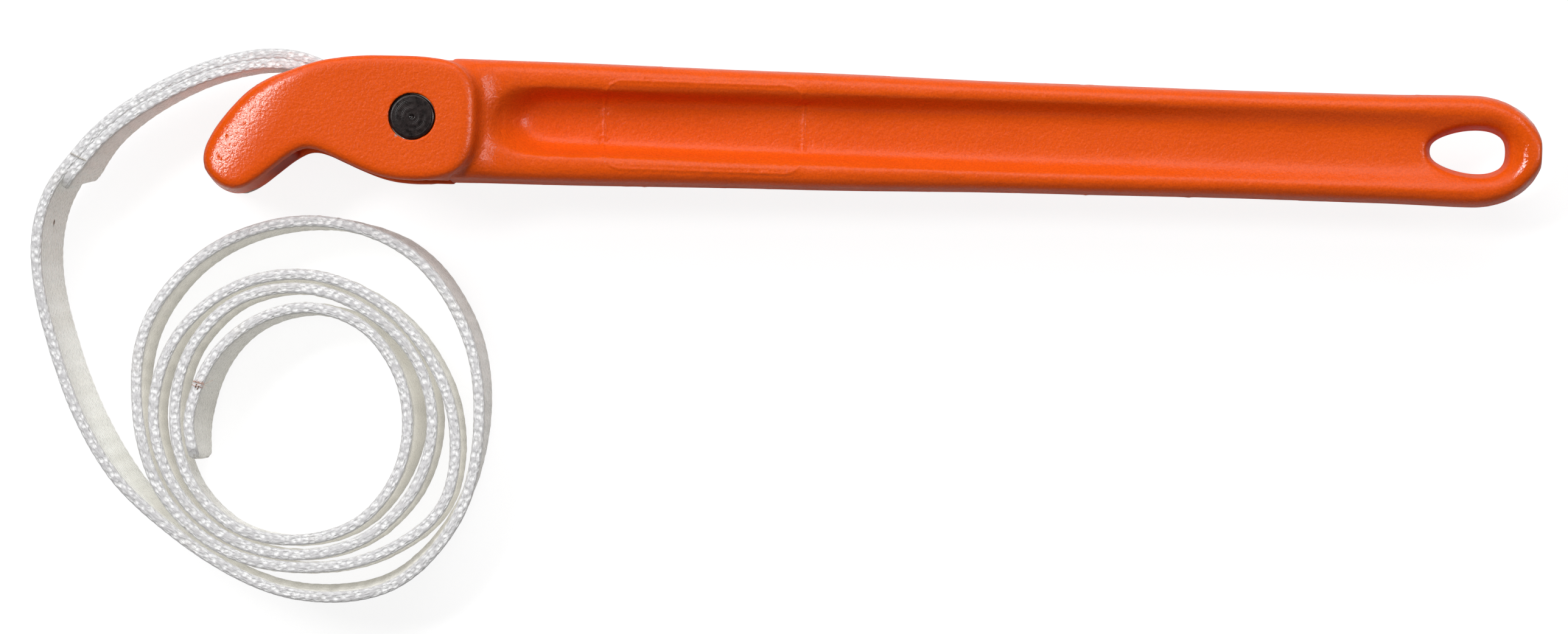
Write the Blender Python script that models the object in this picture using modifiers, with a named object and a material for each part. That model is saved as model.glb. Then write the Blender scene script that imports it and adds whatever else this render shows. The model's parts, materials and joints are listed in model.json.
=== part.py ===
"""Strap wrench: a one-piece cast body, a cross pin and a webbing strap that hangs on the pin.

The wrench lies flat. +X runs from the head to the hang hole, +Z is up through the thickness, and the origin
is at the middle of the whole part's footprint, on the surface that the head rests on. Plan positions are
given in millimetres from the pin's axis, and placed() moves them to the part's frame.
"""

import math

import bmesh
import bpy
from mathutils import Vector

MM = 0.001

# Body
HEAD_THICK = 38.0
CHEEK = 5.7
MID_Z = HEAD_THICK / 2
HEAD_EDGE = 1.4
LENGTH_RIGHT = 253.1
SLOT_RIGHT = 8.3

# Pin
PIN_R = 5.05
BORE_R = 5.25
PIN_INSET = 0.3

# Strap
STRAP_WIDE = 25.0
STRAP_THICK = 2.4
GAP = 0.3
EYE_R = PIN_R + 0.25 + STRAP_THICK / 2
THREAD_R = 0.35
THREAD_GAP = 0.4

# The pin's axis in the part's frame: the footprint runs from the strap's far bend to the hang hole.
PIN_X = -84.1
PIN_Y = 47.46


def placed(x, y, z):
    """A point given in millimetres from the pin's axis, in the part's frame."""
    return Vector(((x + PIN_X) * MM, (y + PIN_Y) * MM, z * MM))


def material(name, colour, roughness, metallic):
    made = bpy.data.materials.new(name)
    made.use_nodes = True
    shader = made.node_tree.nodes["Principled BSDF"]
    shader.inputs["Base Color"].default_value = (*colour, 1.0)
    shader.inputs["Roughness"].default_value = roughness
    shader.inputs["Metallic"].default_value = metallic
    return made


def add(name, mesh, collection, look=None):
    made = bpy.data.objects.new(name, mesh)
    collection.objects.link(made)
    if look:
        mesh.materials.append(look)
    return made


def mesh_from(bm, name):
    bmesh.ops.recalc_face_normals(bm, faces=bm.faces)
    mesh = bpy.data.meshes.new(name)
    bm.to_mesh(mesh)
    bm.free()
    mesh.shade_smooth()
    mesh.set_sharp_from_angle(angle=math.radians(35))
    return mesh


def slab(name, outline, low, high, smooth, edge, collection):
    """A flat outline given extruded from z low to high, its edges rounded by edge."""
    curve = bpy.data.curves.new(name + "_outline", "CURVE")
    curve.dimensions = "2D"
    curve.fill_mode = "BOTH"
    curve.extrude = ((high - low) / 2 - edge) * MM
    curve.bevel_depth = edge * MM
    curve.bevel_resolution = 2
    curve.offset = -edge * MM
    curve.resolution_u = 3
    spline = curve.splines.new("BEZIER" if smooth else "POLY")
    points = spline.bezier_points if smooth else spline.points
    points.add(len(outline) - 1)
    for point, (x, y) in zip(points, outline):
        at = placed(x, y, 0)
        point.co = at if smooth else (*at, 1.0)
        if smooth:
            point.handle_left_type = "AUTO"
            point.handle_right_type = "AUTO"
    spline.use_cyclic_u = True
    drawn = bpy.data.objects.new(name + "_curve", curve)
    drawn.location.z = (low + high) / 2 * MM
    collection.objects.link(drawn)
    bpy.context.view_layer.update()
    flat = bpy.data.meshes.new_from_object(drawn.evaluated_get(bpy.context.evaluated_depsgraph_get()))
    bm = bmesh.new()
    bm.from_mesh(flat)
    bmesh.ops.remove_doubles(bm, verts=bm.verts, dist=0.00001)
    mesh = mesh_from(bm, name)
    made = add(name, mesh, collection)
    made.matrix_world = drawn.matrix_world
    bpy.data.objects.remove(drawn)
    return made


def cut(target, tool, how="DIFFERENCE"):
    tool.hide_render = True
    tool.display_type = "WIRE"
    boolean = target.modifiers.new(tool.name, "BOOLEAN")
    boolean.operation = how
    boolean.solver = "EXACT"
    boolean.object = tool


def between(x, table):
    """A smooth value at x from a short list of (x, value) pairs."""
    if x <= table[0][0]:
        return table[0][1]
    for (x0, v0), (x1, v1) in zip(table, table[1:]):
        if x <= x1:
            t = (x - x0) / (x1 - x0)
            return v0 + (v1 - v0) * t * t * (3 - 2 * t)
    return table[-1][1]


# Handle: a loft of I-shaped sections whose sizes change along its length.

HALF_WIDTH = [(0, 13.6), (25, 13.4), (85, 12.8), (140, 12.0), (185, 11.7), (215, 11.8), (239, 12.2)]
HALF_THICK = [
    (2, 16.0), (14, 14.8), (19, 13.0), (26, 12.0), (45, 10.6), (85, 8.6), (140, 7.4), (200, 6.7), (250, 6.5)
]
WEB_HALF = [(18, 5.4), (40, 4.2), (85, 3.3), (140, 3.4), (200, 3.9), (250, 4.1)]
POCKET_HALF = [(26, 7.8), (85, 7.8), (140, 8.6), (200, 9.2)]
FLOOR_HALF = [(26, 4.8), (85, 5.3), (140, 5.0), (190, 4.0), (240, 3.4)]
POCKET_ENDS = (23.6, 240.6)
FLOOR_ENDS = (30.2, 242.0)
END_START = 237.5
END_FLAT = 0.25
RIM_ROUND = 3.0
WALL_DRAFT = 0.35


def half_width(x):
    if x <= END_START:
        return between(x, HALF_WIDTH)
    reach = (x - END_START) / (LENGTH_RIGHT + END_FLAT - END_START)
    return between(END_START, HALF_WIDTH) * math.sqrt(1 - reach * reach)


def pocket_depth(x, y):
    """How far the face is sunk below the rim at a point of the handle."""
    wide = between(x, POCKET_HALF)
    floor = between(x, FLOOR_HALF)
    past_wide = max(POCKET_ENDS[0] - x, x - POCKET_ENDS[1], 0)
    past_floor = max(FLOOR_ENDS[0] - x, x - FLOOR_ENDS[1], 0)
    inside = wide - math.hypot(past_wide, y)
    outside = max(math.hypot(past_floor, y) - floor, 0)
    if inside <= 0:
        return 0
    share = inside / (inside + outside)
    return (between(x, HALF_THICK) - between(x, WEB_HALF)) * share * share * (3 - 2 * share)


def upper_section(x):
    """The section's upper half, from the parting line on one wall over the face to the other wall."""
    wide = half_width(x)
    thick = between(x, HALF_THICK)
    turn = min(RIM_ROUND, wide * 0.6)
    edge = [(wide + WALL_DRAFT, 0.0)]
    for i in range(4):
        angle = math.radians(30 * i)
        edge.append((wide - turn + turn * math.cos(angle), thick - turn + turn * math.sin(angle)))
    steps = 7
    for i in range(1, steps + 1):
        y = (wide - turn) * (1 - i / steps)
        edge.append((y, thick - pocket_depth(x, y)))
    return edge + [(-y, z) for y, z in reversed(edge[:-1])]


def handle_loft(collection):
    stations = [2, 8, 13, 15, 17, 19, 21, 23, 25, 27, 29, 32, 36, 42]
    stations += [42 + 12 * i for i in range(1, 15)]
    stations += [220, 228, 234, 239, 242, 245, 247.5, 249.5, 251.3, 252.6, LENGTH_RIGHT]
    bm = bmesh.new()
    rings = []
    for x in stations:
        top = upper_section(x)
        ring = top + [(y, -z) for y, z in reversed(top[1:-1])]
        rings.append([bm.verts.new(placed(x, y, MID_Z + z)) for y, z in ring])
    for left, right in zip(rings, rings[1:]):
        for i in range(len(left)):
            j = (i + 1) % len(left)
            bm.faces.new((left[i], left[j], right[j], right[i]))
    caps = [bm.faces.new(rings[0]), bm.faces.new(list(reversed(rings[-1])))]
    bmesh.ops.poke(bm, faces=caps)
    return add("handle", mesh_from(bm, "handle"), collection)


# Head: the outline of the cheeks, round the nose, the seating notch and the jaw.

HEAD_OUTLINE = [
    (14.5, 0.5), (14.5, 4.2), (13.9, 7.7), (12.0, 10.5), (8.8, 12.5), (4.2, 13.4), (-5.4, 13.6),
    (-12.0, 13.4), (-17.5, 12.7), (-21.0, 12.0), (-24.5, 10.9), (-28.2, 9.5), (-32.0, 7.9),
    (-36.7, 4.9), (-40.4, 1.1), (-43.0, -2.2), (-45.0, -5.5), (-46.4, -9.2), (-46.2, -12.5),
    (-44.3, -15.3), (-41.6, -17.0), (-38.6, -17.3), (-35.9, -16.2), (-31.0, -12.4), (-26.4, -8.9),
    (-23.6, -7.7), (-20.8, -8.1), (-16.8, -9.7), (-11.8, -11.8), (-7.0, -13.4), (-2.0, -14.1),
    (3.4, -14.0), (8.0, -13.1), (11.4, -11.2), (13.6, -8.2), (14.5, -4.2),
]
SLOT_OUTLINE = [
    (-31.5, 20.0), (-31.5, 9.0), (-26.4, -9.7), (-25.0, -20.0), (SLOT_RIGHT, -20.0), (SLOT_RIGHT, 20.0)
]
HOLE_MIDDLE = (236.4, -0.15)
HOLE_HALF = (9.4, 5.65)
HOLE_TAPER = 0.2
HOLE_FULL = 0.75


def egg_outline(count):
    """The hang hole: an oval that is fuller than an ellipse and narrows towards the head."""
    points = []
    for i in range(count):
        angle = 2 * math.pi * i / count
        across = math.copysign(abs(math.sin(angle)) ** HOLE_FULL, math.sin(angle))
        x = HOLE_MIDDLE[0] + HOLE_HALF[0] * math.cos(angle)
        y = HOLE_MIDDLE[1] + HOLE_HALF[1] * across * (1 + HOLE_TAPER * math.cos(angle))
        points.append((x, y))
    return points


def cylinder(name, radius, low, high, collection):
    bm = bmesh.new()
    bmesh.ops.create_cone(
        bm, cap_ends=True, segments=64, radius1=radius * MM, radius2=radius * MM, depth=(high - low) * MM
    )
    bmesh.ops.translate(bm, verts=bm.verts, vec=placed(0, 0, (low + high) / 2))
    return add(name, mesh_from(bm, name), collection)


def wrench_body(parts, cutters, look):
    body = slab("wrench_body", HEAD_OUTLINE, 0, HEAD_THICK, True, HEAD_EDGE, parts)
    body.data.materials.append(look)
    cut(body, handle_loft(cutters), "UNION")
    cut(body, slab("strap_slot", SLOT_OUTLINE, CHEEK, HEAD_THICK - CHEEK, False, 0, cutters))
    cut(body, cylinder("pin_bore", BORE_R, -5, HEAD_THICK + 5, cutters))
    cut(body, slab("hang_hole", egg_outline(36), -5, HEAD_THICK + 5, False, 0, cutters))
    return body


def pivot_pin(parts, look):
    """A turned pin with chamfered ends and a small centre mark in each."""
    high = HEAD_THICK / 2 - PIN_INSET
    profile = [
        (0, high - 0.5), (0.8, high - 0.2), (1.1, high), (PIN_R - 0.5, high), (PIN_R, high - 0.5),
        (PIN_R, -high + 0.5), (PIN_R - 0.5, -high), (1.1, -high), (0.8, -high + 0.2), (0, -high + 0.5),
    ]
    bm = bmesh.new()
    verts = [bm.verts.new((r * MM, 0, z * MM)) for r, z in profile]
    for a, b in zip(verts, verts[1:]):
        bm.edges.new((a, b))
    mesh = bpy.data.meshes.new("pivot_pin")
    bm.to_mesh(mesh)
    bm.free()
    pin = add("pivot_pin", mesh, parts, look)
    pin.location = placed(0, 0, MID_Z)
    screw = pin.modifiers.new("turn", "SCREW")
    screw.steps = 64
    screw.render_steps = 64
    screw.use_merge_vertices = True
    screw.merge_threshold = 0.00001
    return pin


# Strap: one length of webbing on edge. Each route point is the centre of its upper edge: x, y, how far that
# edge leans out past the lower one, and the height of the lower edge.

ROUTE = [
    (-15.4, 8.7, 0.0, 6.5), (-20.6, 11.0, 0.0, 6.5), (-25.8, 12.8, 0.0, 6.5), (-32.1, 13.3, 0.0, 6.5),
    (-39.1, 12.3, 0.0, 6.4), (-46.2, 10.2, 0.0, 6.3), (-53.3, 7.1, 0.1, 6.1), (-60.4, 3.1, 0.3, 5.9),
    (-67.3, -1.8, 0.8, 5.6), (-72.0, -6.2, 1.4, 5.2), (-75.8, -10.8, 2.0, 4.8), (-79.2, -15.2, 2.6, 4.3),
    (-81.7, -19.6, 3.0, 3.8), (-83.4, -25.2, 3.2, 3.3), (-84.0, -31.4, 3.2, 2.8), (-83.5, -38.1, 3.2, 2.3),
    (-82.1, -45.0, 3.2, 1.9), (-80.1, -51.6, 3.2, 1.6), (-77.6, -59.0, 3.3, 1.4), (-73.4, -69.0, 3.5, 1.3),
    (-66.8, -80.0, 3.4, 1.2),
]
LAP_END = 11
SEAM = 10
COIL_CENTRE = (-22.7, -68.5)
COIL_FIRST_ANGLE = 210
COIL_LOW = 1.2
# Radius and outward lean of the coil's upper edge, one pair for each twelfth of a turn.
COIL = [
    [(41.0, 2.4), (37.4, 0.6), (39.4, 1.5), (42.4, 2.2), (41.0, 1.6)],
    [(39.4, -0.4), (41.5, -1.4), (44.7, -1.4), (45.0, 0.3), (43.8, 0.6), (41.7, 1.2),
     (37.4, 0.5), (36.0, 0.4), (34.4, 0.4), (33.2, 0.1), (34.6, 0.0), (36.9, 0.0)],
    [(33.9, -0.4), (31.6, -0.5), (31.6, 0.0), (32.8, 0.2), (33.9, 0.3), (34.4, 0.4),
     (34.0, 0.5), (32.8, 0.4), (31.5, 0.3), (30.4, 0.1), (30.0, 0.0), (29.4, -0.2)],
    [(29.0, -0.4), (28.7, -0.5), (28.3, -0.2), (29.6, 0.1), (30.9, 0.3), (30.2, 0.3),
     (29.1, 0.4), (29.1, 0.3), (28.6, 0.2), (27.0, 0.0), (26.1, -0.3), (24.4, -0.9)],
    [(23.4, -1.4), (23.7, -1.4), (25.0, -0.7), (25.4, 0.2), (24.9, 0.6), (25.0, 2.0), (25.9, 2.8)],
]
TIP_ANGLE = 197
TIP = (26.1, 2.4)


def coil_points():
    """The coil's route points, each a twelfth of a turn on from the last, and the cut end."""
    points = []
    angle = COIL_FIRST_ANGLE
    for turn in COIL:
        for radius, lean in turn:
            points.append((angle, radius, lean))
            angle += 30
    points.append((angle - 30 + TIP_ANGLE - 180, *TIP))
    found = []
    for angle, radius, lean in points:
        x = COIL_CENTRE[0] + radius * math.cos(math.radians(angle))
        y = COIL_CENTRE[1] + radius * math.sin(math.radians(angle))
        found.append((x, y, lean, COIL_LOW))
    return found


def smooth_through(points, pieces):
    """Catmull-Rom points through the given ones, with pieces steps between each two."""
    rows = [Vector(p) for p in points]
    rows = [rows[0] * 2 - rows[1], *rows, rows[-1] * 2 - rows[-2]]
    out = []
    for i in range(1, len(rows) - 2):
        a, b, c, d = rows[i - 1 : i + 3]
        for k in range(pieces):
            t = k / pieces
            square = (2 * a - 5 * b + 4 * c - d) * t * t
            cube = (3 * b - a - 3 * c + d) * t**3
            out.append(0.5 * (2 * b + (c - a) * t + square + cube))
    out.append(rows[-2])
    return out


def right_of(path, i):
    """The direction to the right of the strap's travel at one of its points."""
    ahead = path[min(i + 1, len(path) - 1)] - path[max(i - 1, 0)]
    flat = Vector((ahead[1], -ahead[0]))
    return flat.normalized()


def ribbon(name, path, parts, look):
    """A strap on edge along a path of upper-edge points, made thick on both sides of its middle."""
    bm = bmesh.new()
    upper = []
    lower = []
    for i, p in enumerate(path):
        out = right_of(path, i) * p[2]
        upper.append(bm.verts.new(placed(p[0], p[1], p[3] + STRAP_WIDE)))
        lower.append(bm.verts.new(placed(p[0] - out[0], p[1] - out[1], p[3])))
    for i in range(len(path) - 1):
        bm.faces.new((lower[i], lower[i + 1], upper[i + 1], upper[i]))
    made = add(name, mesh_from(bm, name), parts, look)
    thick = made.modifiers.new("webbing", "SOLIDIFY")
    thick.thickness = STRAP_THICK * MM
    thick.offset = 0
    thick.use_even_offset = True
    return made


def arc(centre, radius, first, last, steps):
    """Strap path points round a circle, the angles in degrees."""
    points = []
    for i in range(steps + 1):
        angle = math.radians(first + (last - first) * i / steps)
        x = centre[0] + radius * math.cos(angle)
        y = centre[1] + radius * math.sin(angle)
        points.append(Vector((x, y, 0.0, ROUTE[0][3])))
    return points


def returning_layer(path, distance):
    """The layer inside a path, travelled the other way, so that its lean changes side."""
    out = []
    for i, p in enumerate(path):
        side = right_of(path, i) * -distance
        out.append(Vector((p[0] + side[0], p[1] + side[1], -p[2], p[3])))
    return list(reversed(out))


def thread_ring(name, path, i, layers, parts, look):
    """A thread that goes once round the strap's section at one of its points."""
    out = right_of(path, i)
    p = path[i]
    reach = THREAD_R + THREAD_GAP
    out_by = STRAP_THICK / 2 + reach
    in_by = STRAP_THICK / 2 + reach + (layers - 1) * (STRAP_THICK + GAP)
    low = p[3] - reach
    high = p[3] + STRAP_WIDE + reach
    corners = [(out_by, high), (-in_by, high), (-in_by - p[2], low), (out_by - p[2], low)]
    curve = bpy.data.curves.new(name, "CURVE")
    curve.dimensions = "3D"
    curve.bevel_depth = THREAD_R * MM
    curve.bevel_resolution = 1
    spline = curve.splines.new("POLY")
    spline.points.add(len(corners) - 1)
    for point, (side, z) in zip(spline.points, corners):
        point.co = (*placed(p[0] + out[0] * side, p[1] + out[1] * side, z), 1.0)
    spline.use_cyclic_u = True
    curve.materials.append(look)
    made = bpy.data.objects.new(name, curve)
    parts.objects.link(made)
    return made


def strap(parts, webbing, thread, binding):
    pieces = 3
    route = smooth_through(ROUTE + coil_points(), pieces)
    lap = LAP_END * pieces
    outer = route[: lap + 2]
    inner = returning_layer(route[3 : lap + 1], STRAP_THICK + GAP)
    # The eye: round the pin from the upper layer's tangent to the lower layer's.
    eye = arc((0, 0), EYE_R, 228, 444, 18)
    loop = inner + [Vector((-17.0, 5.9, 0.0, 6.5)), Vector((-10.5, 0.6, 0.0, 6.5))]
    loop += eye + [Vector((-7.4, 7.3, 0.0, 6.5))] + outer
    ribbon("strap_loop", loop, parts, webbing)
    gap = GAP / 2
    coil_start = len(ROUTE) * pieces
    run = [p.copy() for p in route[lap + 1 : coil_start + 1]]
    coil = [p.copy() for p in route[coil_start:]]
    run[0] = run[0] + (run[1] - run[0]).normalized() * GAP
    run[-1] = run[-1] + (run[-2] - run[-1]).normalized() * gap
    coil[0] = coil[0] + (coil[1] - coil[0]).normalized() * gap
    ribbon("strap_run", run, parts, webbing)
    ribbon("strap_coil", coil, parts, webbing)
    thread_ring("lap_seam", route, SEAM * pieces, 2, parts, thread)
    bound = coil_start + len(coil_points()[:-1]) * pieces - 2 * pieces - 1
    thread_ring("tip_binding", route, bound, 1, parts, binding)


def main():
    for old in list(bpy.data.objects):
        bpy.data.objects.remove(old)
    parts = bpy.data.collections.new("strap_wrench")
    cutters = bpy.data.collections.new("cutters")
    for collection in (parts, cutters):
        bpy.context.scene.collection.children.link(collection)
    paint = material("orange_paint", (0.82, 0.09, 0.01), 0.35, 0.0)
    black = material("black_oxide", (0.02, 0.02, 0.02), 0.45, 0.6)
    webbing = material("white_webbing", (0.80, 0.79, 0.76), 0.75, 0.0)
    thread = material("seam_thread", (0.62, 0.58, 0.52), 0.8, 0.0)
    binding = material("binding_thread", (0.35, 0.16, 0.10), 0.85, 0.0)
    wrench_body(parts, cutters, paint)
    pivot_pin(parts, black)
    strap(parts, webbing, thread, binding)


main()
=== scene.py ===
"""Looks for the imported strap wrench: painted casting, turned pin, woven strap, threads and a studio.

Lengths in the tables are millimetres. Plan positions are given from the pin's axis, and placed() moves them
to the row frame.
"""

import json
import math
import random

import bmesh
import bpy
import numpy as np
from mathutils import Matrix, Quaternion, Vector, kdtree, noise


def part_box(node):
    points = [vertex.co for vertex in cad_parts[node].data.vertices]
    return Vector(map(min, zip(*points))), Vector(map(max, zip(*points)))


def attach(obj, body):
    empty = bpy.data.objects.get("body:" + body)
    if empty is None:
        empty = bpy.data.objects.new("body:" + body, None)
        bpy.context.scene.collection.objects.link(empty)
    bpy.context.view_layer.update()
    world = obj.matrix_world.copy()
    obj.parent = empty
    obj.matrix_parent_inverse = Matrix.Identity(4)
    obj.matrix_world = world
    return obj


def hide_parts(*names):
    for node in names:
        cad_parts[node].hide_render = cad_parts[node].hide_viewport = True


MM = 0.001
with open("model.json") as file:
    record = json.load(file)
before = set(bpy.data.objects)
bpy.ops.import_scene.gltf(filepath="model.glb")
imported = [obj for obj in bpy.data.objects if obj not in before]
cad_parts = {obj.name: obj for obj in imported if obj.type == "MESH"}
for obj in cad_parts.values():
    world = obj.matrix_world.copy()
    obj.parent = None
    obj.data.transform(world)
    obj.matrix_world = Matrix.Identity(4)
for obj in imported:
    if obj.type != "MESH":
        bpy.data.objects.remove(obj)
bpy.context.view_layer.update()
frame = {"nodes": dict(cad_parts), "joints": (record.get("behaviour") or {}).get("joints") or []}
PIN_AT = frame["joints"][0]["pos_m"]
HEAD_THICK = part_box("wrench_body")[1].z / MM
MID_Z = HEAD_THICK / 2


def placed(x, y, z):
    """A point given in millimetres from the pin's axis, in the row frame."""
    return Vector((x * MM + PIN_AT[0], y * MM + PIN_AT[1], z * MM))


# Camera: straight above the middle of the handle's lower side, aimed a little to the left and up.

CAMERA_AT = Vector((0.06573, -0.05032, 3.019))
CAMERA_AIM = Vector((0.00009, 0.00555, 0.019))
CAMERA_ROLL = math.radians(1.77)
SENSOR_MM = 36
LENS_MM = 306.6


def make_camera():
    data = bpy.data.cameras.new("camera")
    data.sensor_width = SENSOR_MM
    data.lens = LENS_MM
    data.clip_end = 60
    camera = bpy.data.objects.new("camera", data)
    bpy.context.scene.collection.objects.link(camera)
    back = (CAMERA_AT - CAMERA_AIM).normalized()
    right = Vector((math.cos(CAMERA_ROLL), math.sin(CAMERA_ROLL), 0))
    right = (right - back * right.dot(back)).normalized()
    turn = Matrix((right, back.cross(right), back)).transposed().to_4x4()
    camera.matrix_world = Matrix.Translation(CAMERA_AT) @ turn
    bpy.context.scene.camera = camera


# Node materials


class Look:
    """A node material: its Principled shader, and short ways to add nodes and links."""

    def __init__(self, name):
        self.material = bpy.data.materials.new(name)
        self.material.use_nodes = True
        self.tree = self.material.node_tree
        self.shader = self.tree.nodes["Principled BSDF"]

    def put(self, target, value):
        if isinstance(value, bpy.types.NodeSocket):
            self.tree.links.new(value, target)
        else:
            target.default_value = value

    def node(self, kind, inputs=None, **settings):
        made = self.tree.nodes.new("ShaderNode" + kind)
        for name, value in settings.items():
            setattr(made, name, value)
        for name, value in (inputs or {}).items():
            self.put(made.inputs[name], value)
        return made

    def set(self, **values):
        for name, value in values.items():
            self.put(self.shader.inputs[name.replace("_", " ")], value)

    def place(self):
        return self.node("TexCoord").outputs["Object"]

    def noise(self, scale, detail=2.0, rough=0.5, vector=None, stretch=None):
        vector = vector or self.place()
        if stretch:
            vector = self.node("Mapping", {"Vector": vector, "Scale": stretch}).outputs[0]
        inputs = {"Vector": vector, "Scale": scale, "Detail": detail, "Roughness": rough}
        return self.node("TexNoise", inputs).outputs["Fac"]

    def attribute(self, name):
        return self.node("Attribute", attribute_name=name).outputs["Fac"]

    def ramp(self, factor, *stops):
        made = self.node("ValToRGB", {"Fac": factor})
        while len(made.color_ramp.elements) < len(stops):
            made.color_ramp.elements.new(1.0)
        for element, (at, colour) in zip(made.color_ramp.elements, stops):
            element.position = at
            element.color = (*colour, 1.0)
        return made.outputs["Color"]

    def map(self, value, low, high, to_low, to_high):
        made = self.node(
            "MapRange",
            {"Value": value, "From Min": low, "From Max": high, "To Min": to_low, "To Max": to_high},
        )
        return made.outputs["Result"]

    def math(self, how, *values):
        made = self.node("Math", operation=how)
        for socket, value in zip(made.inputs, values):
            self.put(socket, value)
        return made.outputs[0]

    def mix(self, factor, a, b):
        made = self.node("Mix", data_type="RGBA")
        self.put(made.inputs[0], factor)
        self.put(made.inputs[6], a if isinstance(a, bpy.types.NodeSocket) else (*a, 1.0))
        self.put(made.inputs[7], b if isinstance(b, bpy.types.NodeSocket) else (*b, 1.0))
        return made.outputs[2]

    def bump(self, height, strength, distance, under=None):
        made = self.node("Bump", {"Height": height, "Strength": strength, "Distance": distance})
        if under:
            self.put(made.inputs["Normal"], under)
        return made.outputs["Normal"]


def paint_look():
    """Glossy orange paint with orange peel over a rough casting, worn to bare metal where the mask says, with
    painted shade inside the strap slot.
    """
    look = Look("orange_paint")
    lumps = look.noise(260, 2.0, 0.5)
    peel = look.noise(1500, 2.0, 0.55)
    grit = look.noise(3600, 2.0, 0.6)
    bare = look.attribute("bare")
    shade = look.ramp(look.noise(60, 3.0, 0.6), (0.3, (0.85, 0.098, 0.0036)), (0.7, (0.89, 0.108, 0.0046)))
    # Painted shade: the orange turns dark red-brown inside the strap slot, by the slot mask.
    shade = look.mix(look.attribute("inside"), shade, (0.42, 0.020, 0.004))
    metal = look.ramp(grit, (0.35, (0.16, 0.13, 0.10)), (0.65, (0.55, 0.53, 0.50)))
    rolled = look.attribute("rolled")
    flecks = look.map(look.noise(2400, 2.0, 0.6), 0.4, 0.62, 0.0, 0.34)
    shade = look.mix(flecks, shade, (0.60, 0.050, 0.003))
    rough = look.math("ADD", look.map(peel, 0.3, 0.7, 0.29, 0.37), look.math("MULTIPLY", rolled, -0.14))
    look.set(Base_Color=look.mix(bare, shade, metal))
    look.set(Roughness=look.math("ADD", rough, look.math("MULTIPLY", bare, 0.35)))
    normal = look.bump(lumps, 1.0, 0.00002)
    normal = look.bump(look.noise(1000, 3.0, 0.6), look.map(rolled, 0.0, 1.0, 1.0, 0.0), 0.00011, normal)
    normal = look.bump(peel, look.map(rolled, 0.0, 1.0, 0.75, 1.0), 0.00008, normal)
    look.set(Normal=look.bump(grit, 1.0, 0.000008, normal))
    look.set(IOR=1.5, Specular_IOR_Level=look.map(rolled, 0.0, 1.0, 0.17, 0.42))
    return look.material


def pin_look():
    """Blackened steel with a fine grain and small dull patches."""
    look = Look("black_oxide")
    patches = look.noise(900, 3.0, 0.6)
    look.set(Base_Color=look.ramp(patches, (0.35, (0.008, 0.005, 0.005)), (0.7, (0.026, 0.016, 0.015))))
    look.set(Roughness=look.map(patches, 0.3, 0.7, 0.24, 0.36), Specular_IOR_Level=0.28)
    look.set(Normal=look.bump(look.noise(4200, 2.0, 0.5), 0.35, 0.00005))
    return look.material


# Yarn cells per metre along the strap and round it, and the metres between which its faces' painted tint
# turns from cool to warmer, painted light for the coil.

CELLS_ALONG = 740.0
CELLS_ACROSS = 780.0
COIL_LIGHT_FROM = 0.22
COIL_LIGHT_TO = 0.36


def yarn_beads(look):
    """The yarns over the edge: long beads in two rows, broken up by cells."""
    wave = look.math("COSINE", look.math("MULTIPLY", look.attribute("phase"), 2 * math.pi))
    wave = look.math("POWER", look.math("MULTIPLY_ADD", wave, 0.5, 0.5), 0.75)
    off = look.math("DIVIDE", look.math("SUBTRACT", look.attribute("inward"), ROW_AT), ROW_AT)
    oval = look.math("SUBTRACT", 1.0, look.math("POWER", look.math("ABSOLUTE", off), 2.0))
    oval = look.math("POWER", oval, 0.9)
    along = look.math("MULTIPLY", look.attribute("along"), CELLS_ALONG)
    across = look.math("MULTIPLY", look.attribute("across"), CELLS_ACROSS)
    cells = look.node("CombineXYZ", {"X": along, "Y": across}).outputs[0]
    cell = look.node("TexVoronoi", {"Vector": cells, "Scale": 1.0, "Randomness": 0.8}).outputs["Distance"]
    cell = look.math("MULTIPLY", look.map(cell, 0.12, 0.62, 1.0, 0.0), 0.70)
    return look.math("MULTIPLY_ADD", look.math("MULTIPLY", wave, oval), 0.30, cell)


def wall_ribs(look):
    """The lengthwise ribs on the strap's faces, with the height that the mesh has there."""
    lines = look.math("COSINE", look.math("MULTIPLY", look.attribute("rib"), 2 * math.pi))
    lines = look.math("MULTIPLY_ADD", lines, 0.25, 0.25)
    return look.math("MULTIPLY_ADD", look.attribute("raised"), 0.5, lines)


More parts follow.
